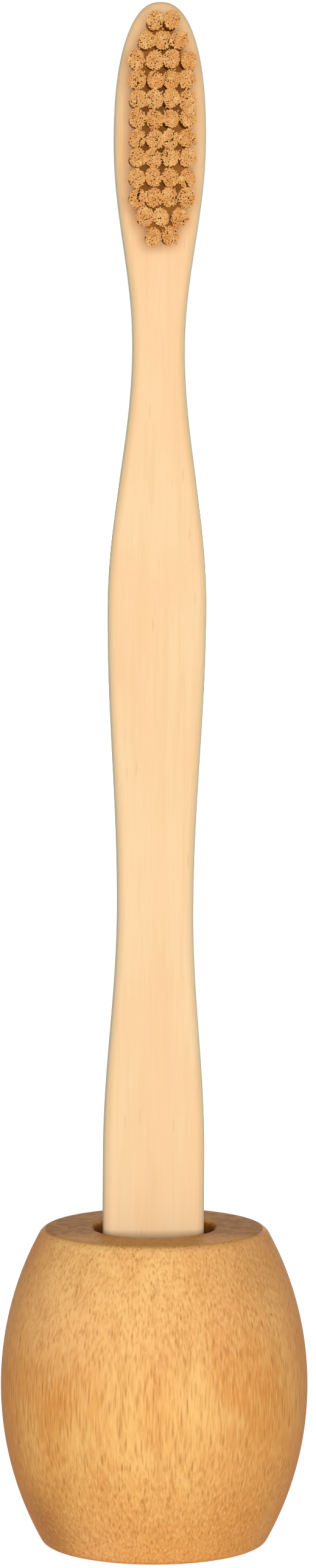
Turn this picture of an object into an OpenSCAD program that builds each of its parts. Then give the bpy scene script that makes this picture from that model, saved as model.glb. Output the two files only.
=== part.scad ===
// A barrel-shaped holder turned from dark bamboo, with a pale bamboo toothbrush standing
// in the round hole in its top. All lengths are in millimetres. Z is up, X is to the right
// and the bristles face -Y. The origin is the centre of the holder's base, on the surface
// that the holder stands on.

/* [Holder] */
// Largest diameter of the barrel, half way up
holder_d = 40; // [37:0.5:60]
// Height of the barrel
holder_h = 41.6; // [36:0.2:60]
// Diameter at which the barrel's side would meet its flat ends, before their edges are rounded
holder_end_d = 29; // [26:0.2:34]
// Radius of the rounded edge around the top
top_edge_r = 1.6; // [0.5:0.1:2.5]
// Radius of the rounded edge around the base
base_edge_r = 1.2; // [0.5:0.1:2.5]
// Thickness of the wood left under the hole
floor_t = 8; // [4:0.5:14]
// Play on every side between the corners of the grip and the wall of the hole
hole_play = 1; // [0.6:0.05:1.6]
// Width of the small bevel around the mouth of the hole
mouth_bevel = 0.4; // [0.1:0.05:0.6]

/* [Handle outline] */
// Length of the straight grip, with the rounded end that stands in the hole
grip_l = 42.6; // [36:0.2:60]
// Length from the straight grip up to the narrowest place of the waist
waist_l = 32; // [20:0.2:50]
// Length from the waist up to the widest place of the belly
belly_l = 39.3; // [25:0.2:60]
// Length from the belly up to the narrowest place of the neck
neck_l = 33.6; // [20:0.2:50]
// Length from the neck up to the widest place of the head
head_rise_l = 26.9; // [22:0.2:36]
// Length of the rounded tip of the head
head_tip_l = 17.9; // [14:0.2:26]
// Length of the rounded end that stands in the hole
foot_l = 6; // [3:0.2:8]
// Width of the straight grip
grip_w = 13.1; // [11:0.05:16]
// Width of the waist
waist_w = 9.85; // [7:0.05:13]
// Width of the belly
belly_w = 12.8; // [9:0.05:16]
// Width of the neck
neck_w = 6.75; // [5:0.05:8]
// Width of the head
head_w = 11.9; // [11:0.05:15]

/* [Handle section] */
// Thickness of the strip at the grip
grip_t = 5.5; // [4.5:0.1:7]
// Thickness of the strip at the head
head_t = 4.8; // [4.2:0.1:6]
// Radius of the rounding along every edge of the strip
edge_r = 1.1; // [0.5:0.05:1.6]

/* [Place of the brush] */
// Clearance between the leaning grip and the wall of the hole
wall_gap = 0.15; // [0.1:0.05:0.3]
// Clearance between the foot and the floor of the hole
floor_gap = 0.2; // [0.1:0.05:0.5]
// Sideways lean of the brush, in degrees
side_lean = 0.35; // [-0.5:0.05:0.5]
// Turn of the brush about its own length, in degrees
brush_turn = 2.2; // [-3:0.1:3]
// Distance of the foot to the left of the middle of the hole
foot_left = 0.35; // [0:0.05:0.4]

/* [Tufts] */
// Number of rows of tufts along the head
tuft_rows = 12; // [8:1:13]
// Number of tufts in a full row
tuft_columns = 4; // [3:1:4]
// Diameter of the hole drilled for each tuft
tuft_hole_d = 1.7; // [1.3:0.05:1.9]
// Depth of the hole drilled for each tuft
tuft_hole_depth = 3.4; // [2.4:0.1:3.8]
// Distance from the edge of the head to the middle of the outermost tufts
tuft_side_margin = 2.69; // [2.4:0.01:3]
// Distance from the end of the tip to the middle of the top row
tuft_tip_margin = 3.05; // [2.8:0.05:5]
// Distance from the narrowest place of the neck to the middle of the lowest row
tuft_neck_margin = 14.1; // [12:0.1:20]
// Length of the bristles above the face of the head
bristle_l = 10.4; // [7:0.1:13]
// Number of strands drawn around the middle strand of each tuft
ring_strands = 8; // [6:1:8]
// Clearance between the tips of tufts that stand side by side
tip_gap = 0.14; // [0.1:0.01:0.4]
// Clearance between a tuft and the wall of its hole
tuft_gap = 0.03; // [0.02:0.005:0.06]
// Depth below the face of the head at which the packed root of a tuft ends
root_recess = 0.4; // [0.2:0.05:0.8]

/* [Anchors] */
// Height of the flat metal anchor that each tuft is folded over
anchor_h = 1.4; // [0.8:0.1:2]
// Thickness of the anchor
anchor_t = 0.25; // [0.15:0.05:0.4]
// Width of the anchor across the hole
anchor_w = 1.5; // [0.8:0.05:1.55]

/* [Hidden] */
function two_digits(i) = str(i < 10 ? "0" : "", i);
function bristle_name(r) = str("bristle_row_", two_digits(r + 1));
function anchor_name(r) = str("anchor_row_", two_digits(r + 1));
rows = [0 : tuft_rows - 1];

// Smoothness of round pieces, large and small
$fn = 144;
small_fn = 24;
// How far a cut runs past the surface that it opens
overrun = 0.5;

// The barrel's side is one arc, which swells from the end diameter to the largest one
side_swell = (holder_d - holder_end_d) / 2;
side_r = (pow(holder_h / 2, 2) + pow(side_swell, 2)) / (2 * side_swell);
side_x = holder_d / 2 - side_r;

// The hole takes the corners of the grip, with play on every side
corner_x = grip_w / 2 - edge_r;
corner_y = grip_t / 2 - edge_r;
hole_r = norm([corner_x, corner_y]) + edge_r + hole_play;
hole_depth = holder_h - floor_t;

// Heights along the brush, from its foot
waist_at = grip_l + waist_l;
belly_at = waist_at + belly_l;
neck_at = belly_at + neck_l;
head_at = neck_at + head_rise_l;
brush_l = head_at + head_tip_l;

// Exponents of the rounded ends, where 2 is an ellipse and more is squarer
foot_squareness = 2.2;
tip_squareness = 2.33;
// Steps along a rounded end, along a run between two widths and across an edge
end_steps = 9;
run_steps = 10;
edge_steps = 4;

// The brush leans back until its back meets the mouth of the hole and its front meets the
// wall above the foot. Both places follow from the play that is left round its corners.
rim_x = abs(foot_left - hole_depth * tan(side_lean));
free_r = hole_r - wall_gap - edge_r;
turned_y = corner_y + corner_x * sin(abs(brush_turn));
function play_y(off_x) = sqrt(max(0, pow(free_r, 2) - pow(corner_x + off_x, 2))) - turned_y;
rim_y = max(0, play_y(rim_x));
low_y = max(0, play_y(foot_left));
back_lean = atan((rim_y + low_y) / (hole_depth - foot_l));
foot_y = rim_y - hole_depth * tan(back_lean);
foot_z = floor_t + floor_gap + corner_y * sin(back_lean) + edge_r * (1 - cos(back_lean));

// The grid of tufts
tuft_r = tuft_hole_d / 2 - tuft_gap;
column_pitch = (head_w / 2 - tuft_side_margin) * 2 / (tuft_columns - 1);
lowest_row_at = neck_at + tuft_neck_margin;
row_pitch = (brush_l - tuft_tip_margin - lowest_row_at) / (tuft_rows - 1);
function row_at(r) = brush_l - tuft_tip_margin - r * row_pitch;
end_row_tufts = 2;
function tufts_in(r) = min(tuft_columns, end_row_tufts + min(r, tuft_rows - 1 - r));
function tuft_x(r, c) = (c - (tufts_in(r) - 1) / 2) * column_pitch;

// The strands of a tuft stand in a ring around a middle one and spread towards their tips
ring_radius_share = 0.7;
strand_fill_share = 0.8;
root_depth_share = 0.4;
ring_r = tuft_r * ring_radius_share;
strand_w = 2 * ring_r * sin(180 / ring_strands) * strand_fill_share;
strand_reach = norm([strand_w, strand_w]) / 2;
spread_x = (column_pitch - tip_gap) / 2 - strand_reach;
spread_z = (row_pitch - tip_gap) / 2 - strand_reach;
root_depth = tuft_hole_depth * root_depth_share;
uneven_share = 0.02;

// Height that a run gains between two widths, with a level start and a level end
function ease(u) = (1 - cos(180 * u)) / 2;
function mix(a, b, u) = a + (b - a) * u;

// Points up one side of the handle, as distances from its middle line and from its foot
function run_points(from_at, to_at, from_w, to_w) = [
    for (i = [1 : run_steps])
        let (u = i / run_steps)
        [mix(from_w, to_w, ease(u)) / 2, mix(from_at, to_at, u)]
];
foot_points = [
    for (i = [0 : end_steps])
        let (a = 90 * i / end_steps, p = 2 / foot_squareness)
        [grip_w / 2 * pow(sin(a), p), foot_l * (1 - pow(cos(a), p))]
];
tip_points = [
    for (i = [1 : end_steps])
        let (a = 90 * i / end_steps, p = 2 / tip_squareness)
        [head_w / 2 * pow(cos(a), p), head_at + head_tip_l * pow(sin(a), p)]
];
side_points = concat(
    foot_points,
    [[grip_w / 2, grip_l]],
    run_points(grip_l, waist_at, grip_w, waist_w),
    run_points(waist_at, belly_at, waist_w, belly_w),
    run_points(belly_at, neck_at, belly_w, neck_w),
    run_points(neck_at, head_at, neck_w, head_w),
    tip_points);
last = len(side_points) - 1;
outline = concat(side_points, [for (i = [last - 1 : -1 : 1]) [-side_points[i][0], side_points[i][1]]]);
count = len(outline);

// Direction out of the outline at one of its points
function outward(i) =
    let (step = outline[(i + 1) % count] - outline[(i + count - 1) % count])
    [step[1], -step[0]] / norm(step);

// The front face is flat and the back comes forward from the grip to the head
front_y = -grip_t / 2;
function thickness(at) =
    mix(grip_t, head_t, ease(min(1, max(0, (at - waist_at) / (neck_at - waist_at)))));

// Rings of the outline, from the front face round both edges to the back face
front_angles = [for (k = [edge_steps : -1 : 0]) 90 * k / edge_steps];
back_angles = [for (k = [0 : edge_steps]) 90 * k / edge_steps];
function ring_point(i, inset, y) =
    let (p = outline[i] - outward(i) * inset)
    [p[0], y, p[1]];
function front_ring(a) = [
    for (i = [0 : count - 1])
        ring_point(i, edge_r * (1 - cos(a)), front_y + edge_r * (1 - sin(a)))
];
function back_ring(a) = [
    for (i = [0 : count - 1])
        ring_point(i, edge_r * (1 - cos(a)), front_y + thickness(outline[i][1]) - edge_r * (1 - sin(a)))
];
function flatten(lists) = [for (one = lists) each one];
handle_points = flatten(concat([for (a = front_angles) front_ring(a)], [for (a = back_angles) back_ring(a)]));
rings = len(front_angles) + len(back_angles);

// Triangles between two rings, and across the face inside the first or the last ring
function edge_faces(k) = [
    for (i = [0 : count - 1])
        let (a = k * count + i, b = k * count + (i + 1) % count, c = b + count, d = a + count)
        each [[a, b, c], [a, c, d]]
];
function face_strip(i, base) =
    let (right = base + i, left = base + (count - i) % count)
    i == 0 ? [[right, left - 1 + count, right + 1]]
    : i == last - 1 ? [[left, right + 1, right]]
    : [[left, left - 1, right], [left - 1, right + 1, right]];
front_faces = flatten([for (i = [0 : last - 1]) face_strip(i, 0)]);
back_faces = [
    for (f = flatten([for (i = [0 : last - 1]) face_strip(i, (rings - 1) * count)]))
        [f[2], f[1], f[0]]
];
handle_faces = concat(front_faces, flatten([for (k = [0 : rings - 2]) edge_faces(k)]), back_faces);

// Cuts the sharp edge of the barrel's section back to a rounding of radius r at the top
module edge_cut(r) {
    centre_x = side_x + sqrt(pow(side_r - r, 2) - pow(holder_h / 2 - r, 2));
    centre = [centre_x, holder_h - r];
    middle = [side_x, holder_h / 2];
    way = (centre - middle) / norm(centre - middle);
    difference() {
        polygon([
            centre,
            [centre_x, holder_h + overrun],
            [holder_end_d / 2 + r, holder_h + overrun],
            centre + way * (r + overrun)
        ]);
        translate(centre) circle(r);
    }
}

// Half of the barrel's section, from its axis to its swelling side
module barrel_section() {
    difference() {
        intersection() {
            translate([side_x, holder_h / 2]) circle(side_r, $fn = 2 * $fn);
            square([holder_d, holder_h]);
        }
        edge_cut(top_edge_r);
        translate([0, holder_h]) mirror([0, 1]) edge_cut(base_edge_r);
    }
}

module holder_body() {
    color("peru") difference() {
        rotate_extrude() barrel_section();
        translate([0, 0, floor_t]) cylinder(r = hole_r, h = hole_depth + overrun);
        translate([0, 0, holder_h - mouth_bevel])
            cylinder(r1 = hole_r, r2 = hole_r + mouth_bevel + overrun, h = mouth_bevel + overrun);
    }
}

// Puts what is drawn along the brush's own upright length where the brush stands
module in_hole() {
    translate([-foot_left, foot_y, foot_z]) rotate([-back_lean, side_lean, 0]) rotate([0, 0, brush_turn])
        children();
}

// Draws its child at every tuft of a row, with its Z axis along the bristles
module at_tufts(r) {
    for (c = [0 : tufts_in(r) - 1])
        translate([tuft_x(r, c), front_y, row_at(r)]) rotate([90, 0, 0]) children();
}

module brush_handle() {
    color("navajowhite") in_hole() difference() {
        polyhedron(points = handle_points, faces = handle_faces, convexity = 6);
        for (r = rows) at_tufts(r)
            translate([0, 0, -tuft_hole_depth])
                cylinder(d = tuft_hole_d, h = tuft_hole_depth + overrun, $fn = small_fn);
    }
}

// One straight strand of square section, from inside the packed root out to its tip
module strand(root, tip, length) {
    way = [tip[0] - root[0], tip[1] - root[1], length + root_depth];
    translate([root[0], root[1], -root_depth])
        rotate([0, acos(way[2] / norm(way)), atan2(way[1], way[0])])
            translate([-strand_w / 2, -strand_w / 2, 0]) cube([strand_w, strand_w, norm(way)]);
}

// One tuft: a packed root with a slot for the anchor, and the strands that spread from it
module tuft(r) {
    difference() {
        translate([0, 0, -tuft_hole_depth])
            cylinder(r = tuft_r, h = tuft_hole_depth - root_recess, $fn = small_fn);
        anchor();
    }
    strand([0, 0], [0, 0], bristle_l);
    for (s = [0 : ring_strands - 1]) {
        a = 360 * s / ring_strands;
        uneven = 1 + uneven_share * sin(a * 2 + r * 90);
        strand([ring_r * cos(a), ring_r * sin(a)], [spread_x * cos(a), spread_z * sin(a)], bristle_l * uneven);
    }
}

module bristle_row(r) {
    color("sandybrown") in_hole() at_tufts(r) tuft(r);
}

// The flat plate at the bottom of a tuft's hole
module anchor() {
    translate([-anchor_w / 2, -anchor_t / 2, -tuft_hole_depth]) cube([anchor_w, anchor_t, anchor_h]);
}

module anchor_row(r) {
    color("gainsboro") in_hole() at_tufts(r) anchor();
}

holder_body();
brush_handle();
for (r = rows) bristle_row(r);
for (r = rows) anchor_row(r);
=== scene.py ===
"""Looks of the toothbrush holder: a barrel turned from dark bamboo, with a pale bamboo brush in its hole.

Everything is in the part's frame: Z is up, the bristles face -Y, and the origin is the centre of the
holder's base. Sizes are in millimetres unless a comment says metres, and MM turns them into metres.
"""
import contextlib
import math
import random

import bmesh
import bpy
from mathutils import Matrix, Vector

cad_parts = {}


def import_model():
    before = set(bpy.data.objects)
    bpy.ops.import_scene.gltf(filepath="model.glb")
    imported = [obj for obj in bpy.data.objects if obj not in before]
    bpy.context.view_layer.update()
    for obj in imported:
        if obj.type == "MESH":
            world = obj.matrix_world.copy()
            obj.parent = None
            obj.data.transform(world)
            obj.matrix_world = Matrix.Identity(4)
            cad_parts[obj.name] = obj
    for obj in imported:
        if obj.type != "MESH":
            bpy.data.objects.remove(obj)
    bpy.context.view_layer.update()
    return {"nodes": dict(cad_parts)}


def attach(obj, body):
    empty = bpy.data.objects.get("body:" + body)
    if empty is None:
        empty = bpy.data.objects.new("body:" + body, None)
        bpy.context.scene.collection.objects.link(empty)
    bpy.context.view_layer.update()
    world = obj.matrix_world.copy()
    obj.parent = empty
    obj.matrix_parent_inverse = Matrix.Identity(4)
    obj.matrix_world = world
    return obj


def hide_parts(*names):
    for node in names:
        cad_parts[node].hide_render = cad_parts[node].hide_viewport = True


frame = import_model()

MM = 0.001
PER_MM = 1 / MM

# Driving sizes of the holder, as in the part's source
HOLDER_D = 40.0
HOLDER_H = 41.6
HOLDER_END_D = 29.0
TOP_EDGE_R = 1.6
BASE_EDGE_R = 1.2
FLOOR_T = 8.0
HOLE_PLAY = 1.0
MOUTH_BEVEL = 0.4

# Driving sizes of the brush, as in the part's source: lengths up from the foot, widths, thicknesses
GRIP_L, WAIST_L, BELLY_L, NECK_L, HEAD_RISE_L, HEAD_TIP_L = 42.6, 32.0, 39.3, 33.6, 26.9, 17.9
FOOT_L = 6.0
GRIP_W, WAIST_W, BELLY_W, NECK_W, HEAD_W = 13.1, 9.85, 12.8, 6.75, 11.9
GRIP_T, HEAD_T, EDGE_R = 5.5, 4.8, 1.1
FOOT_SQUARENESS, TIP_SQUARENESS = 2.2, 2.33

# How the brush stands, as in the part's source: its foot's place, its gaps, its lean and turn in degrees
FOOT_LEFT = 0.35
WALL_GAP, FLOOR_GAP = 0.15, 0.2
SIDE_LEAN, BRUSH_TURN = 0.35, 2.2

# Driving sizes of the tufts, as in the part's source
TUFT_ROWS, TUFT_COLUMNS = 12, 4
TUFT_HOLE_D, TUFT_HOLE_DEPTH = 1.7, 3.4
TUFT_SIDE_MARGIN, TUFT_TIP_MARGIN, TUFT_NECK_MARGIN = 2.69, 3.05, 14.1
BRISTLE_L = 10.4
ANCHOR_H, ANCHOR_T = 1.4, 0.25

# Sizes that follow from them
WAIST_AT = GRIP_L + WAIST_L
BELLY_AT = WAIST_AT + BELLY_L
NECK_AT = BELLY_AT + NECK_L
HEAD_AT = NECK_AT + HEAD_RISE_L
BRUSH_L = HEAD_AT + HEAD_TIP_L
FRONT_Y = -GRIP_T / 2
CORNER_X, CORNER_Y = GRIP_W / 2 - EDGE_R, GRIP_T / 2 - EDGE_R
HOLE_R = math.hypot(CORNER_X, CORNER_Y) + EDGE_R + HOLE_PLAY
HOLE_DEPTH = HOLDER_H - FLOOR_T
TOP_ROW_AT = BRUSH_L - TUFT_TIP_MARGIN
LOWEST_ROW_AT = NECK_AT + TUFT_NECK_MARGIN
ROW_PITCH = (TOP_ROW_AT - LOWEST_ROW_AT) / (TUFT_ROWS - 1)
COLUMN_PITCH = (HEAD_W - 2 * TUFT_SIDE_MARGIN) / (TUFT_COLUMNS - 1)


# Place of the brush

def room_in_hole(aside):
    """How far the turned grip can move back or forward in the hole when it stands this far aside."""
    free_r = HOLE_R - WALL_GAP - EDGE_R
    turned_y = CORNER_Y + CORNER_X * math.sin(math.radians(BRUSH_TURN))
    return max(0.0, math.sqrt(max(0.0, free_r ** 2 - (CORNER_X + aside) ** 2)) - turned_y)


def brush_place():
    """The matrix that puts what is drawn along the brush's own upright length where it stands.

    The brush leans back until its back is near the rim and its foot is near the hole's front.
    """
    room_at_rim = room_in_hole(abs(FOOT_LEFT - HOLE_DEPTH * math.tan(math.radians(SIDE_LEAN))))
    back_lean = math.atan((room_at_rim + room_in_hole(FOOT_LEFT)) / (HOLE_DEPTH - FOOT_L))
    foot = Vector((
        -FOOT_LEFT,
        room_at_rim - HOLE_DEPTH * math.tan(back_lean),
        FLOOR_T + FLOOR_GAP + CORNER_Y * math.sin(back_lean) + EDGE_R * (1 - math.cos(back_lean)),
    ))
    lean = Matrix.Rotation(math.radians(SIDE_LEAN), 4, "Y") @ Matrix.Rotation(-back_lean, 4, "X")
    return Matrix.Translation(foot * MM) @ lean @ Matrix.Rotation(math.radians(BRUSH_TURN), 4, "Z")


BRUSH_PLACE = brush_place()


# Shader nodes

# Places of the sockets that a Mix node uses for colours, three among its inputs and one in its outputs
MIX_FACTOR, MIX_UNDER, MIX_OVER, MIX_RESULT = 0, 6, 7, 2


class Nodes:
    """Adds nodes to the tree of a material or world. A value is a number, a colour or a node's output."""

    def __init__(self, owner, output, place=None):
        owner.use_nodes = True
        self.owner = owner
        self.place = place
        self.tree = owner.node_tree
        self.tree.nodes.clear()
        self.output = self.tree.nodes.new(output)

    def put(self, node, key, value):
        if isinstance(value, bpy.types.NodeSocket):
            self.tree.links.new(value, node.inputs[key])
        else:
            node.inputs[key].default_value = value

    def add(self, kind, *values, settings=None, **named):
        """A new node, with its inputs filled in order and by name, where _ stands for a space."""
        node = self.tree.nodes.new(kind)
        for key, value in (settings or {}).items():
            setattr(node, key, value)
        for key, value in enumerate(values):
            self.put(node, key, value)
        for key, value in named.items():
            self.put(node, key.replace("_", " "), value)
        return node

    def finish(self, shader):
        self.tree.links.new(shader.outputs[0], self.output.inputs[0])
        return self.owner

    def math(self, operation, *values):
        return self.add("ShaderNodeMath", *values, settings={"operation": operation}).outputs[0]

    def share(self, value, part):
        return self.math("MULTIPLY", value, part)

    def span(self, value, low, high, to_low=0.0, to_high=1.0):
        """Maps low..high softly onto to_low..to_high, held at both ends."""
        ends = {"From_Min": low, "From_Max": high, "To_Min": to_low, "To_Max": to_high}
        settings = {"interpolation_type": "SMOOTHSTEP"}
        return self.add("ShaderNodeMapRange", settings=settings, Value=value, **ends).outputs[0]

    def lay(self, over, under, share):
        """One colour laid over another with this share of it."""
        node = self.add("ShaderNodeMix", settings={"data_type": "RGBA"})
        for key, value in ((MIX_FACTOR, share), (MIX_UNDER, under), (MIX_OVER, over)):
            self.put(node, key, value)
        return node.outputs[MIX_RESULT]

    def coords(self, x=1.0, y=1.0, z=1.0, offset=(0, 0, 0)):
        """Places in millimetres, upright along the brush on a brush material, times x, y, z and moved."""
        source = self.add("ShaderNodeTexCoord").outputs["Object"]
        if self.place is not None:
            location, rotation = self.place.to_translation(), self.place.to_euler("XYZ")
            settings = {"vector_type": "TEXTURE"}
            turned = self.add("ShaderNodeMapping", source, location, rotation, settings=settings)
            source = turned.outputs[0]
        scale = (PER_MM * x, PER_MM * y, PER_MM * z)
        return self.add("ShaderNodeMapping", Vector=source, Scale=scale, Location=offset).outputs[0]

    def axes(self, vector):
        """The X, Y and Z outputs of a vector."""
        return self.add("ShaderNodeSeparateXYZ", vector).outputs

    def normal(self):
        return self.axes(self.add("ShaderNodeTexCoord").outputs["Normal"])

    def noise(self, vector, scale, detail=2.0, roughness=0.5):
        inputs = {"Vector": vector, "Scale": scale, "Detail": detail, "Roughness": roughness}
        return self.add("ShaderNodeTexNoise", **inputs).outputs[0]

    def cells(self, vector, scale, low, high):
        """Small round spots, one a cell: 1 up to low cells from the middle, falling to 0 at high cells."""
        spots = self.add("ShaderNodeTexVoronoi", Vector=vector, Scale=scale, Randomness=1.0)
        return self.span(spots.outputs["Distance"], low, high, 1.0, 0.0)

    def patch(self, place, radius):
        """1 at a place, falling softly to 0 at this radius from it."""
        gap = self.add("ShaderNodeVectorMath", self.coords(), place, settings={"operation": "DISTANCE"})
        return self.span(gap.outputs["Value"], radius, 0.0)

    def bump(self, height, strength, distance):
        inputs = {"Height": height, "Strength": strength, "Distance": distance * MM}
        return self.add("ShaderNodeBump", **inputs).outputs[0]

    def plainly_seen(self):
        """1 for what the camera sees, also in a reflection or through glass, and 0 for other light."""
        path = self.add("ShaderNodeLightPath").outputs
        indirect = self.math("MAXIMUM", path["Is Glossy Ray"], path["Is Transmission Ray"])
        return self.math("MAXIMUM", path["Is Camera Ray"], indirect)


def material_nodes(name, place=None):
    return Nodes(bpy.data.materials.new(name), "ShaderNodeOutputMaterial", place)


def rgb(red, green, blue):
    """A colour written as the eight-bit numbers that it shows on a screen."""
    def linear(level):
        level /= 255
        return level / 12.92 if level <= 0.04045 else ((level + 0.055) / 1.055) ** 2.4
    return (linear(red), linear(green), linear(blue), 1.0)


# Dark bamboo

# Soft patches of another tone on the barrel: place, radius, share, colour
BARREL_PATCHES = (
    ((-11.0, -15.2, 31.0), 11.0, 0.9, rgb(255, 196, 126)),
    ((-14.3, -9.0, 4.2), 8.5, 0.65, rgb(176, 108, 46)),
    ((-7.0, -14.2, 2.5), 8.0, 0.8, rgb(244, 184, 116)),
    ((13.0, -10.0, 38.0), 8.0, 0.5, rgb(206, 134, 68)),
)

# The places along Y between which the end grain on top gets painted light towards the front
PAINTED_LIGHT_FRONT = (-4.0, -9.5)

# Distances out from the hole's wall between which the end grain's tone, and the painted shade inside the
# hole, set in
NEAR_HOLE = (1.2, 1.0)
PAINTED_SHADE_IN_HOLE = (0.3, 0.1)


def barrel_tones(n, height):
    """The barrel's broad tones: warmer and paler clouds, painted light above and painted shade below, and
    patches.
    """
    broad = n.coords(z=0.55, offset=(55.0, 70.0, 21.0))
    tone = n.noise(broad, 0.07, detail=1.0)
    warm = n.noise(broad, 0.13, detail=1.0)
    colour = n.lay(rgb(255, 203, 124), rgb(236, 165, 86), n.span(tone, 0.34, 0.66))
    colour = n.lay(rgb(236, 154, 74), colour, n.span(warm, 0.45, 0.7, 0.0, 0.3))
    # Painted light and shade: paler towards the top and browner towards the bottom, as light from above
    # would fall
    painted_light_above = n.span(height, HOLDER_H * 0.5, HOLDER_H * 0.8, 0.0, 0.35)
    colour = n.lay(rgb(252, 203, 140), colour, painted_light_above)
    painted_shade_below = n.span(height, HOLDER_H * 0.45, HOLDER_H * 0.1, 0.0, 0.6)
    colour = n.lay(rgb(222, 148, 69), colour, painted_shade_below)
    for place, radius, share, patch_colour in BARREL_PATCHES:
        colour = n.lay(patch_colour, colour, n.share(n.patch(place, radius), share))
    return colour


def end_grain(n, band, y):
    """The browner cut ends of the fibres on the flat top, with painted light towards the front."""
    colour = n.lay(rgb(152, 102, 44), rgb(184, 130, 60), n.span(band, 0.4, 0.6))
    # Painted light: the end grain grows lighter towards the front, where the brush's shadow would fall
    return n.lay(rgb(234, 175, 102), colour, n.span(y, *PAINTED_LIGHT_FRONT, 0.0, 0.7))


def dark_bamboo():
    """Turned bamboo: its upright fibres and bundles show as streaks, dashes and dots on the barrel."""
    n = material_nodes("bamboo_dark")
    fibre = n.noise(n.coords(z=0.1), 3.8, roughness=0.55)
    band = n.noise(n.coords(z=0.055), 0.8)
    small = n.cells(n.coords(z=0.09, offset=(3.1, 5.7, 1.3)), 2.0, 0.12, 0.36)
    long = n.cells(n.coords(z=0.16, offset=(1.7, 9.2, 6.4)), 0.7, 0.05, 0.16)
    specks = n.cells(n.coords(z=0.7, offset=(5.5, 0.4, 2.6)), 0.2, 0.02, 0.045)

    place = n.axes(n.coords())
    colour = barrel_tones(n, place["Z"])
    colour = n.lay(rgb(214, 148, 78), colour, n.span(band, 0.48, 0.72, 0.0, 0.32))
    colour = n.lay(rgb(196, 128, 62), colour, n.span(fibre, 0.48, 0.7, 0.0, 0.42))
    colour = n.lay(rgb(255, 212, 142), colour, n.span(fibre, 0.5, 0.3, 0.0, 0.45))

    squares = (n.math("POWER", place[axis], 2.0) for axis in "XY")
    away = n.math("SQRT", n.math("ADD", *squares))
    # Painted shade: the sides facing ±X are made darker and warmer, as the barrel's edges look where the
    # light falls off
    sideways = n.math("DIVIDE", n.math("ABSOLUTE", place["X"]), away)
    colour = n.lay(rgb(226, 134, 62), colour, n.span(sideways, 0.85, 1.0, 0.0, 0.32))

    from_hole = n.math("SUBTRACT", away, HOLE_R)
    flat = n.span(n.math("ABSOLUTE", n.normal()["Z"]), 0.8, 0.97)
    across = n.math("MAXIMUM", flat, n.span(from_hole, *NEAR_HOLE))
    colour = n.lay(end_grain(n, band, place["Y"]), colour, n.share(across, 0.85))

    colour = n.lay(rgb(176, 106, 46), colour, n.share(small, 0.4))
    colour = n.lay(rgb(166, 100, 44), colour, n.share(long, 0.42))
    colour = n.lay(rgb(126, 70, 32), colour, n.share(specks, 0.7))
    colour = n.lay(rgb(130, 78, 34), colour, n.share(n.math("MULTIPLY", small, across), 0.3))
    # Painted shade: the hole's wall and floor are made dark brown, as the shade down the hole looks
    colour = n.lay(rgb(146, 82, 20), colour, n.span(from_hole, *PAINTED_SHADE_IN_HOLE, 0.0, 0.9))

    relief = n.math("SUBTRACT", n.share(fibre, 0.6), n.share(small, 0.4))
    roughness = n.math("MAXIMUM", n.span(fibre, 0.3, 0.7, 0.66, 0.54), n.share(across, 0.9))
    return n.finish(n.add(
        "ShaderNodeBsdfPrincipled", Base_Color=colour, Roughness=roughness,
        Normal=n.bump(relief, 0.3, 0.1), Specular_IOR_Level=0.12))


# Pale bamboo

# The painted shade among the tufts ends over this depth behind the bottoms of their holes
PAINTED_SHADE_FADE = 0.4


def among_tufts(n, place, widths, rows):
    """1 among the tufts on the front of the head, fading out past their outline.

    The outline narrows by half a column for each row past the rows of four. The fades run between
    two distances from its middle: widths in columns across, and rows along.
    """
    middle_at = (TOP_ROW_AT + LOWEST_ROW_AT) / 2
    full_rows = TUFT_ROWS - 2 * (TUFT_COLUMNS - 2)
    along = n.math("ABSOLUTE", n.math("SUBTRACT", place["Z"], middle_at))
    past_full = n.math("MAXIMUM", n.math("SUBTRACT", along, ROW_PITCH * (full_rows - 1) / 2), 0.0)
    narrowed = n.share(past_full, COLUMN_PITCH / ROW_PITCH / 2)
    across = n.math("ADD", n.math("ABSOLUTE", place["X"]), narrowed)
    bottoms_y = FRONT_Y + TUFT_HOLE_DEPTH
    front = n.span(place["Y"], bottoms_y + PAINTED_SHADE_FADE, bottoms_y)
    in_width = n.span(across, *(COLUMN_PITCH * w for w in widths))
    in_length = n.span(along, *(ROW_PITCH * r for r in rows))
    return n.math("MULTIPLY", n.math("MULTIPLY", in_width, in_length), front)


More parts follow.
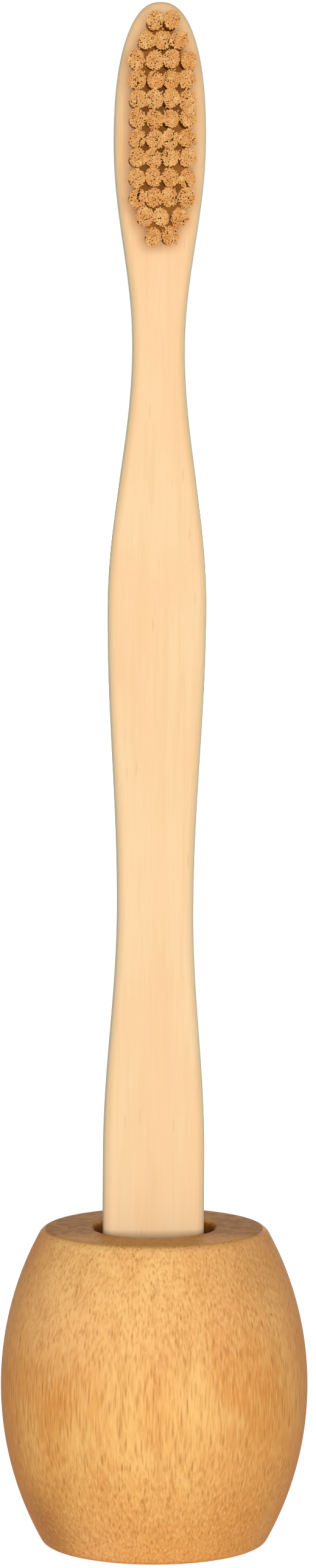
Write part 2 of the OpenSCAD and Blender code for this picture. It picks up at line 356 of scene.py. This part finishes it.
def pale_bamboo():
    """Planed pale bamboo with soft fibres along the brush, painted amber shade among its tufts, and painted
    light on its sides.
    """
    n = material_nodes("bamboo_pale", BRUSH_PLACE)
    fibre = n.noise(n.coords(z=0.03), 4.0, detail=3.0, roughness=0.6)
    streak = n.noise(n.coords(z=0.05, offset=(4.0, 2.5, 0.0)), 1.1)
    tone = n.noise(n.coords(z=0.3, offset=(1.0, 8.0, 3.0)), 0.14)
    pores = n.cells(n.coords(z=0.1, offset=(2.2, 3.3, 0.7)), 0.9, 0.04, 0.13)

    colour = n.lay(rgb(248, 214, 168), rgb(248, 208, 158), n.span(tone, 0.35, 0.65))
    colour = n.lay(rgb(243, 202, 150), colour, n.span(streak, 0.45, 0.7, 0.0, 0.45))
    colour = n.lay(rgb(232, 190, 142), colour, n.span(fibre, 0.5, 0.75, 0.0, 0.3))
    colour = n.lay(rgb(205, 158, 106), colour, n.share(pores, 0.25))

    place = n.axes(n.coords())
    # Painted shade among the tufts, amber as if warmed by light off the bristles: a soft halo round them
    # and a strong tint between them
    near = among_tufts(n, place, widths=(2.9, 1.8), rows=(6.4, 5.4))
    among = among_tufts(n, place, widths=(1.7, 1.4), rows=(5.7, 5.3))
    colour = n.lay(rgb(240, 172, 98), colour, n.share(near, 0.3))
    colour = n.lay(rgb(242, 156, 40), colour, n.share(among, 0.92))
    # Painted light: the sides facing ±X, which the lamps light poorly, are made paler and greyer to offset
    # their shading
    sideways = n.math("ABSOLUTE", n.normal()["X"])
    colour = n.lay(rgb(240, 224, 186), colour, n.span(sideways, 0.5, 0.95, 0.0, 0.8))

    relief = n.math("SUBTRACT", n.share(fibre, 0.6), n.share(pores, 0.4))
    return n.finish(n.add(
        "ShaderNodeBsdfPrincipled", Base_Color=colour, Roughness=n.span(fibre, 0.3, 0.7, 0.6, 0.5),
        Normal=n.bump(relief, 0.2, 0.08), Specular_IOR_Level=0.2))


# Bristle and anchor metal

def bristle():
    """Tan filaments, each with a tone of its own, with painted amber shade down in the tuft and paler at
    the tip.
    """
    n = material_nodes("bristle", BRUSH_PLACE)
    tone = n.add("ShaderNodeAttribute", settings={"attribute_name": "tone"}).outputs["Fac"]
    along = n.add("ShaderNodeAttribute", settings={"attribute_name": "along"}).outputs["Fac"]
    grain = n.noise(n.coords(), 4.0)
    clump = n.noise(n.coords(y=0.1, z=0.7, offset=(2.0, 6.0, 9.0)), 1.1, roughness=0.6)
    colour = n.lay(rgb(238, 198, 132), rgb(222, 152, 78), tone)
    colour = n.lay(rgb(218, 148, 78), colour, n.span(clump, 0.5, 0.68, 0.0, 0.4))
    colour = n.lay(rgb(255, 216, 152), colour, n.span(clump, 0.48, 0.32, 0.0, 0.5))
    # Painted shade: the filaments turn deep amber down in the tuft, as the shade between them looks
    colour = n.lay(rgb(255, 178, 52), colour, n.span(along, 0.93, 0.45, 0.0, 0.85))
    colour = n.lay(rgb(226, 158, 86), colour, n.share(grain, 0.2))
    return n.finish(n.add(
        "ShaderNodeBsdfPrincipled", Base_Color=colour, Roughness=0.5,
        Normal=n.bump(grain, 0.1, 0.03), Specular_IOR_Level=0.12))


def anchor_metal():
    """Stamped metal strip with fine drawn lines."""
    n = material_nodes("anchor_metal")
    lines = n.noise(n.coords(x=0.2, y=6, z=6), 1.5)
    colour = n.lay(rgb(214, 211, 204), rgb(176, 172, 164), lines)
    return n.finish(n.add(
        "ShaderNodeBsdfPrincipled", Base_Color=colour, Roughness=n.span(lines, 0.3, 0.7, 0.42, 0.28),
        Normal=n.bump(lines, 0.2, 0.02), Metallic=1.0))


# Mesh helpers

def make_piece(name, vertices, faces, material, place=Matrix.Identity(4)):
    """A smooth-shaded mesh object from points in millimetres."""
    mesh = bpy.data.meshes.new(name)
    mesh.from_pydata([place @ (Vector(v) * MM) for v in vertices], [], faces)
    mesh.validate()
    mesh.materials.append(material)
    mesh.shade_smooth()
    piece = bpy.data.objects.new(name, mesh)
    bpy.context.scene.collection.objects.link(piece)
    return piece


@contextlib.contextmanager
def edited(mesh):
    """The mesh as a bmesh, which is written back at the end."""
    bm = bmesh.new()
    bm.from_mesh(mesh)
    yield bm
    bm.to_mesh(mesh)
    bm.free()


def sharpen(mesh, angle):
    """Marks the edges where two faces meet at more than angle degrees as sharp."""
    with edited(mesh) as bm:
        for edge in bm.edges:
            if len(edge.link_faces) == 2 and edge.calc_face_angle(0.0) > math.radians(angle):
                edge.smooth = False


def face_out(mesh):
    """Turns all faces of closed shells outwards."""
    with edited(mesh) as bm:
        bmesh.ops.recalc_face_normals(bm, faces=bm.faces)


def held(value):
    """The value, held between 0 and 1."""
    return min(1.0, max(0.0, value))


def ring(radius, count):
    """Points of a circle, evenly spaced."""
    turns = [2 * math.pi * i / count for i in range(count)]
    return [(radius * math.cos(a), radius * math.sin(a)) for a in turns]


def bridge(rings, count):
    """Quads between rings of count points each."""
    return [
        (k * count + i, k * count + (i + 1) % count, (k + 1) * count + (i + 1) % count, (k + 1) * count + i)
        for k in range(rings - 1)
        for i in range(count)
    ]


# Holder

# Divisions of the holder: around, up its side, round an edge, and down the hole's wall
HOLDER_AROUND = 288
SIDE_STEPS, EDGE_STEPS, WALL_STEPS = 96, 10, 24

# Radii of the rings that divide the flat base, top and hole floor
BASE_RINGS, TOP_RINGS, FLOOR_RINGS = (3.0, 7.0, 10.5), (11.5, 9.5), (5.0, 2.5)


def arc(centre, radius, start, end, steps):
    """Points of an arc in the section plane, from angle start to angle end in degrees."""
    turns = [math.radians(start + (end - start) * i / steps) for i in range(steps + 1)]
    return [(centre[0] + radius * math.cos(a), centre[1] + radius * math.sin(a)) for a in turns]


def holder_profile():
    """Half of the holder's section, from the middle of its base round to the middle of the hole's floor."""
    middle_h = HOLDER_H / 2
    swell = (HOLDER_D - HOLDER_END_D) / 2
    side_r = (middle_h ** 2 + swell ** 2) / (2 * swell)
    middle = (HOLDER_D / 2 - side_r, middle_h)

    def edge_centre(radius, height):
        """Centre of an edge rounding that touches the side and a flat end, and its turn at the side."""
        x = middle[0] + math.sqrt((side_r - radius) ** 2 - (middle_h - radius) ** 2)
        return (x, height), math.degrees(math.atan2(height - middle_h, x - middle[0]))

    base, low = edge_centre(BASE_EDGE_R, BASE_EDGE_R)
    top, high = edge_centre(TOP_EDGE_R, HOLDER_H - TOP_EDGE_R)
    mouth = HOLDER_H - MOUTH_BEVEL
    wall = [1 - i / WALL_STEPS for i in range(1, WALL_STEPS + 1)]
    points = [(r, 0.0) for r in BASE_RINGS]
    points += arc(base, BASE_EDGE_R, -90, low, EDGE_STEPS)
    points += arc(middle, side_r, low, high, SIDE_STEPS)[1:]
    points += arc(top, TOP_EDGE_R, high, 90, EDGE_STEPS)[1:]
    points += [(r, HOLDER_H) for r in TOP_RINGS]
    points += [(HOLE_R + MOUTH_BEVEL, HOLDER_H), (HOLE_R, mouth)]
    points += [(HOLE_R, FLOOR_T + (mouth - FLOOR_T) * u) for u in wall]
    points += [(r, FLOOR_T) for r in FLOOR_RINGS]
    return points


def holder(material):
    profile = holder_profile()
    around = HOLDER_AROUND
    vertices = [(x, y, z) for r, z in profile for x, y in ring(r, around)]
    faces = bridge(len(profile), around)
    last = len(vertices) - around
    vertices += [(0, 0, profile[0][1]), (0, 0, profile[-1][1])]
    faces += [((i + 1) % around, i, len(vertices) - 2) for i in range(around)]
    faces += [(last + i, last + (i + 1) % around, len(vertices) - 1) for i in range(around)]
    piece = make_piece("holder_turned", vertices, faces, material)
    sharpen(piece.data, angle=30)
    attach(piece, "holder")
    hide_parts("holder_body")
    return piece


# Handle

# Divisions of the handle: up its foot, grip, each run between two widths and tip, round an edge, across
FOOT_STEPS, GRIP_STEPS, RUN_STEPS, TIP_STEPS = 20, 20, 34, 28
ROUNDING_STEPS, ACROSS_STEPS = 8, 8

# The cutters of the tuft holes: their points around, the broken edge of a hole, and how far they stick out
CUTTER_AROUND = 28
BROKEN_EDGE = 0.06
CUTTER_OVERRUN = 0.6


def ease(u):
    return (1 - math.cos(math.pi * u)) / 2


def side_points():
    """Points up the right side of the handle, as (distance from the middle line, height above the foot)."""
    points = []
    for i in range(FOOT_STEPS + 1):
        a = math.pi / 2 * i / FOOT_STEPS
        p = 2 / FOOT_SQUARENESS
        points.append((GRIP_W / 2 * math.sin(a) ** p, FOOT_L * (1 - max(0.0, math.cos(a)) ** p)))
    points += [(GRIP_W / 2, FOOT_L + (GRIP_L - FOOT_L) * i / GRIP_STEPS) for i in range(1, GRIP_STEPS + 1)]
    stations = list(zip(
        (GRIP_L, WAIST_AT, BELLY_AT, NECK_AT, HEAD_AT),
        (GRIP_W, WAIST_W, BELLY_W, NECK_W, HEAD_W)))
    for (low, from_w), (high, to_w) in zip(stations, stations[1:]):
        for i in range(1, RUN_STEPS + 1):
            u = i / RUN_STEPS
            points.append(((from_w + (to_w - from_w) * ease(u)) / 2, low + (high - low) * u))
    for i in range(1, TIP_STEPS + 1):
        a = math.pi / 2 * i / TIP_STEPS
        p = 2 / TIP_SQUARENESS
        points.append((HEAD_W / 2 * max(0.0, math.cos(a)) ** p, HEAD_AT + HEAD_TIP_L * math.sin(a) ** p))
    return points


def thickness(at):
    return GRIP_T + (HEAD_T - GRIP_T) * ease(held((at - WAIST_AT) / (NECK_AT - WAIST_AT)))


def outward_ways(outline):
    """The way out of a closed outline at each of its points."""
    ways = []
    for before, after in zip(outline[-1:] + outline, outline[1:] + outline[:1]):
        dx, dz = after[0] - before[0], after[1] - before[1]
        size = math.hypot(dx, dz)
        ways.append((dz / size, -dx / size))
    return ways


def edge_ring(outline, ways, turn, back):
    """The outline drawn in and forward or back, where the edge's rounding has come this far round."""
    inset, depth = EDGE_R * (1 - math.cos(turn)), EDGE_R * (1 - math.sin(turn))
    return [
        (x - way_x * inset, FRONT_Y + thickness(z) - depth if back else FRONT_Y + depth, z - way_z * inset)
        for (x, z), (way_x, way_z) in zip(outline, ways)
    ]


def cap(vertices, base, last, count, flip):
    """Fills the front or back inside its ring, which starts at base, with rows of small quads."""
    rows = []
    for i in range(1, last):
        a, b = vertices[base + i], vertices[base + count - i]
        row = [base + i]
        for j in range(1, ACROSS_STEPS):
            u = j / ACROSS_STEPS
            vertices.append(tuple(p + (q - p) * u for p, q in zip(a, b)))
            row.append(len(vertices) - 1)
        rows.append(row + [base + count - i])
    found = []
    for j in range(ACROSS_STEPS):
        found.append((base, rows[0][j + 1], rows[0][j]))
        found.append((base + last, rows[-1][j], rows[-1][j + 1]))
    for low, high in zip(rows, rows[1:]):
        found += [(low[j], low[j + 1], high[j + 1], high[j]) for j in range(ACROSS_STEPS)]
    return [f[::-1] for f in found] if flip else found


def handle_blank():
    """Vertices and faces of the handle before its holes are drilled."""
    right = side_points()
    outline = right + [(-x, z) for x, z in right[-2:0:-1]]
    ways = outward_ways(outline)
    count, last = len(outline), len(right) - 1
    turns = [math.pi / 2 * k / ROUNDING_STEPS for k in range(ROUNDING_STEPS + 1)]
    rings = [edge_ring(outline, ways, a, back=False) for a in reversed(turns)]
    rings += [edge_ring(outline, ways, a, back=True) for a in turns]
    vertices = [v for r in rings for v in r]
    faces = bridge(len(rings), count)
    faces += cap(vertices, 0, last, count, flip=False)
    faces += cap(vertices, (len(rings) - 1) * count, last, count, flip=True)
    return vertices, faces


def tuft_centres(row):
    """(sideways place, height along the brush) of each tuft in a row."""
    count = min(TUFT_COLUMNS, 2 + min(row, TUFT_ROWS - 1 - row))
    return [((c - (count - 1) / 2) * COLUMN_PITCH, TOP_ROW_AT - row * ROW_PITCH) for c in range(count)]


def drill_bits():
    """One mesh of closed cutters, one for each tuft's hole, that also break the sharp edge of its mouth."""
    hole_r, around = TUFT_HOLE_D / 2, CUTTER_AROUND
    mouth_r = hole_r + BROKEN_EDGE
    section = [(hole_r, TUFT_HOLE_DEPTH), (hole_r, BROKEN_EDGE), (mouth_r, 0.0), (mouth_r, -CUTTER_OVERRUN)]
    points = [(dx, FRONT_Y + depth, dz) for r, depth in section for dx, dz in ring(r, around)]
    bottom = tuple(reversed(range(around)))
    top = tuple(range(len(points) - around, len(points)))
    sides = bridge(len(section), around) + [bottom, top]
    vertices, faces = [], []
    for row in range(TUFT_ROWS):
        for x, z in tuft_centres(row):
            first = len(vertices)
            vertices += [(x + p[0], p[1], z + p[2]) for p in points]
            faces += [tuple(first + i for i in f) for f in sides]
    return vertices, faces


def drill(piece, cutter):
    """Cuts the cutter out of the piece and deletes the cutter."""
    cut = piece.modifiers.new("holes", "BOOLEAN")
    cut.operation, cut.solver, cut.object = "DIFFERENCE", "EXACT", cutter
    bpy.context.view_layer.update()
    drilled = bpy.data.meshes.new_from_object(piece.evaluated_get(bpy.context.evaluated_depsgraph_get()))
    piece.modifiers.clear()
    piece.data = drilled
    drilled.name = piece.name
    bpy.data.objects.remove(cutter)


def handle(material):
    piece = make_piece("handle_bamboo", *handle_blank(), material, BRUSH_PLACE)
    cutter = make_piece("drill_bits", *drill_bits(), material, BRUSH_PLACE)
    face_out(piece.data)
    face_out(cutter.data)
    drill(piece, cutter)
    piece.data.shade_smooth()
    sharpen(piece.data, angle=28)
    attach(piece, "brush")
    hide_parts("brush_handle")
    return piece


# Bristles

# Filaments of a tuft: their number, their radius in the hole, and the sides and free steps of each
FILAMENT_COUNT = 220
FILAMENT_R = 0.046
FILAMENT_SIDES, FREE_STEPS = 5, 4

# Their roots: the radius that they fill, their lift off the hole's bottom, the share of it that they
# keep where the anchor presses them, and the depth below the hole's mouth where they fill it all
ROOT_R = 0.76
ROOT_LIFT = 0.1
PRESSED_SHARE = 0.45
MOUTH_DEPTH = 0.5

# How they spread: half widths of a tuft's face, its lean aside and droop and their play, the power of
# the curve outwards, and the play of each filament's bow
TIP_X, TIP_Z = 1.08, 1.23
TIP_ASIDE, TIP_DROP, LEAN_SPREAD = 0.15, 0.3, 0.07
SPREAD_POWER = 1.25
BOW_SPREAD = 0.03

# Tips grow thicker by this, and their rounded ends have a shoulder and a crown, in shares of the radius
TIP_FLARE = 2.5
SHOULDER_BACK, CROWN_BACK, CROWN_R = 0.8, 0.25, 0.74

# Lengths: how much shorter filaments are at a tuft's edge, and their play
TIP_DOME = 0.12
LENGTH_PLAY = (-0.1, 0.04)

# How far tips stray, and the share of the filaments that do so
STRAY_BY, STRAY_SHARES = (0.04, 0.13, 0.28), (0.84, 0.14, 0.02)

# Bundles that a tuft parts into, and how far their tips lean
BUNDLES, BUNDLE_LEAN = 5, 0.065

# Tones, from 0 to 1: middle and spread of the filaments' own, and how far a whole tuft's is off
TONE_MIDDLE, TONE_SPREAD, TUFT_TONE = 0.5, 0.22, 0.12

# Each row draws its own random numbers, seeded with this plus its place in the rows
ROW_SEED = 4100


def packed_roots():
    """Places of the filaments in a tuft's hole, packed evenly as the seeds of a sunflower are."""
    golden = math.pi * (3 - math.sqrt(5))
    places = []
    for k in range(FILAMENT_COUNT):
        away = ROOT_R * math.sqrt((k + 0.5) / FILAMENT_COUNT)
        places.append((away * math.cos(k * golden), away * math.sin(k * golden)))
    return places


def tuft_bundles(dice):
    """The bundles that a tuft parts into: the middle of each among the roots, and its tips' lean."""
    bundles = []
    for _ in range(BUNDLES):
        middle = (dice.uniform(-ROOT_R, ROOT_R), dice.uniform(-ROOT_R, ROOT_R))
        bundles.append((middle, (dice.gauss(0, BUNDLE_LEAN), dice.gauss(0, BUNDLE_LEAN))))
    return bundles


def filament_line(root, tip, length, bow):
    """Points from beside the anchor at the hole's bottom to the tip, as (x, height over the front, z)."""
    x, z = root
    beside = math.copysign(ANCHOR_T / 2 + FILAMENT_R + PRESSED_SHARE * abs(z), z)
    bottom = -TUFT_HOLE_DEPTH
    line = [(x, bottom + ROOT_LIFT, beside), (x, bottom + ANCHOR_H, beside), (x, -MOUTH_DEPTH, z)]
    for i in range(1, FREE_STEPS + 1):
        u = i / FREE_STEPS
        spread = u ** SPREAD_POWER
        arch = math.sin(math.pi * u)
        out_x = x + (tip[0] - x) * spread + bow[0] * arch
        out_z = z + (tip[1] - z) * spread + bow[1] * arch
        line.append((out_x, length * u, out_z))
    return line


def filament(dice, root, lean, bundles):
    """One filament's line and the radius at each of its points."""
    stray = dice.choices(STRAY_BY, STRAY_SHARES)[0]
    _, bundle_lean = min(bundles, key=lambda b: math.hypot(root[0] - b[0][0], root[1] - b[0][1]))
    tip_x = root[0] / ROOT_R * TIP_X + lean[0] + bundle_lean[0] + dice.gauss(0, stray)
    tip_z = root[1] / ROOT_R * TIP_Z + lean[1] + bundle_lean[1] + dice.gauss(0, stray)
    set_back = TIP_DOME * math.hypot(*root) ** 2 / ROOT_R ** 2
    length = BRISTLE_L - set_back + dice.uniform(*LENGTH_PLAY)
    bow = (dice.gauss(0, BOW_SPREAD), dice.gauss(0, BOW_SPREAD))
    line = filament_line(root, (tip_x, tip_z), length, bow)
    radii = [FILAMENT_R * (1 + (TIP_FLARE - 1) * max(0.0, p[1] / length) ** 2) for p in line]
    return line, radii


def tube(line, radii):
    """Rings of points round a line, rounded off at its far end, and the faces that join them."""
    tip, radius = Vector(line[-1]), radii[-1]
    way = (tip - Vector(line[-2])).normalized()
    rings = list(zip(line[:-1], radii))
    rings.append((tip - way * radius * SHOULDER_BACK, radius))
    rings.append((tip - way * radius * CROWN_BACK, radius * CROWN_R))
    points = [(p[0] + dx, p[1], p[2] + dz) for p, r in rings for dx, dz in ring(r, FILAMENT_SIDES)]
    faces = bridge(len(rings), FILAMENT_SIDES)
    faces.append(tuple(reversed(range(FILAMENT_SIDES))))
    last = len(points) - FILAMENT_SIDES
    points.append(line[-1])
    faces += [(last + i, last + (i + 1) % FILAMENT_SIDES, len(points) - 1) for i in range(FILAMENT_SIDES)]
    return points, faces


def bristle_row(row, material):
    """All the filaments of one row of tufts, as one mesh."""
    dice = random.Random(ROW_SEED + row)
    vertices, faces, tones, alongs = [], [], [], []
    for x, z in tuft_centres(row):
        tuft_tone = dice.uniform(-TUFT_TONE, TUFT_TONE)
        lean = (dice.gauss(-TIP_ASIDE, LEAN_SPREAD), dice.gauss(-TIP_DROP, LEAN_SPREAD))
        bundles = tuft_bundles(dice)
        for root in packed_roots():
            points, sides = tube(*filament(dice, root, lean, bundles))
            first = len(vertices)
            vertices += [(x + p[0], FRONT_Y - p[1], z + p[2]) for p in points]
            tones += [held(dice.gauss(TONE_MIDDLE, TONE_SPREAD) + tuft_tone)] * len(points)
            alongs += [held(p[1] / BRISTLE_L) for p in points]
            faces += [tuple(first + i for i in reversed(f)) for f in sides]
    piece = make_piece(f"bristles_row_{row + 1:02d}", vertices, faces, material, BRUSH_PLACE)
    for key, values in (("tone", tones), ("along", alongs)):
        attribute = piece.data.attributes.new(key, "FLOAT", "POINT")
        attribute.data.foreach_set("value", values)
    face_out(piece.data)
    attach(piece, "brush")
    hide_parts(f"bristle_row_{row + 1:02d}")
    return piece


def dress_anchors(material):
    """The metal anchors keep their CAD shape and get their metal."""
    for row in range(TUFT_ROWS):
        node = frame["nodes"][f"anchor_row_{row + 1:02d}"]
        node.data.materials.clear()
        node.data.materials.append(material)


# Stage, light and camera

FLOOR_R, FLOOR_AROUND = 6000.0, 96

# The floor's colour for other light, and its colour and glow where it is seen
FLOOR_PALE = (0.74, 0.72, 0.69, 1.0)
FLOOR_LIT, FLOOR_GLOW = (0.78, 0.84, 0.93, 1.0), 0.78

# Colour and strength of the light from all round
ROOM_LIGHT, ROOM_LEVEL = (1.0, 0.93, 0.84, 1.0), 0.31
WHITE = (1.0, 1.0, 1.0, 1.0)

# The point that the camera and the lamps face, and the place of the camera's lens
AIM = Vector((0.0, 0.0, 100.0)) * MM
EYE = Vector((0.0, -900.0, 207.3)) * MM

# The camera's sensor and focal length in its own millimetres, its shift in shares of the picture's
# longer side, and the distances in metres between which it sees
SENSOR, FOCAL_L = 36, 161.13
SHIFT_X, SHIFT_Y = 0.002446, -0.00175
NEAR, FAR = 0.05, 50


def floor_white():
    """White with the object's shadow on it where it is seen, and a pale floor for other light."""
    n = material_nodes("floor_white")
    pale = n.add("ShaderNodeBsdfDiffuse", Color=FLOOR_PALE)
    lit = n.add("ShaderNodeBsdfDiffuse", Color=FLOOR_LIT)
    glow = n.add("ShaderNodeEmission", Color=WHITE, Strength=FLOOR_GLOW)
    white = n.add("ShaderNodeAddShader", lit.outputs[0], glow.outputs[0])
    return n.finish(n.add("ShaderNodeMixShader", n.plainly_seen(), pale.outputs[0], white.outputs[0]))


def floor(material):
    """A wide round floor under the object."""
    vertices = [(0, 0, 0)] + [(x, y, 0) for x, y in ring(FLOOR_R, FLOOR_AROUND)]
    faces = [(0, 1 + i, 1 + (i + 1) % FLOOR_AROUND) for i in range(FLOOR_AROUND)]
    piece = make_piece("floor", vertices, faces, material)
    return piece


def world():
    """White where it is seen, and a dimmer light from all round."""
    n = Nodes(bpy.data.worlds.new("studio"), "ShaderNodeOutputWorld")
    dim = n.add("ShaderNodeBackground", Color=ROOM_LIGHT, Strength=ROOM_LEVEL)
    white = n.add("ShaderNodeBackground", Color=WHITE, Strength=1.0)
    shader = n.add("ShaderNodeMixShader", n.plainly_seen(), dim.outputs[0], white.outputs[0])
    bpy.context.scene.world = n.finish(shader)


def aimed(name, data, place):
    """An object for a camera or lamp at a place, turned to face the aim."""
    made = bpy.data.objects.new(name, data)
    made.location = place
    made.rotation_mode = "QUATERNION"
    made.rotation_quaternion = (AIM - place).to_track_quat("-Z", "Y")
    bpy.context.scene.collection.objects.link(made)
    return made


def soft_light(name, azimuth, elevation, distance, size, level):
    """A square soft light. A surface that faces it gets its level, where 1 shows a colour as written.

    Its angles are in degrees from the front and from level, and its distance and size in metres.
    """
    a, e = math.radians(azimuth), math.radians(elevation)
    way = Vector((math.sin(a) * math.cos(e), -math.cos(a) * math.cos(e), math.sin(e)))
    data = bpy.data.lights.new(name, "AREA")
    data.shape, data.size = "SQUARE", size
    data.energy = level * math.pi ** 2 * distance ** 2
    aimed(name, data, AIM + way * distance)


def camera():
    """The photograph's viewpoint: level with the top of the brush and looking a little down."""
    data = bpy.data.cameras.new("camera")
    data.sensor_width, data.lens = SENSOR, FOCAL_L
    data.shift_x, data.shift_y = SHIFT_X, SHIFT_Y
    data.clip_start, data.clip_end = NEAR, FAR
    bpy.context.scene.camera = aimed("camera", data, EYE)


def build():
    camera()
    world()
    soft_light("key", azimuth=1.5, elevation=5.5, distance=1.8, size=0.4, level=0.68)
    soft_light("back", azimuth=178, elevation=8.5, distance=1.8, size=0.3, level=0.38)
    floor(floor_white())
    holder(dark_bamboo())
    handle(pale_bamboo())
    filaments = bristle()
    for row in range(TUFT_ROWS):
        bristle_row(row, filaments)
    dress_anchors(anchor_metal())
    bpy.context.scene.view_settings.view_transform = "Standard"


build()
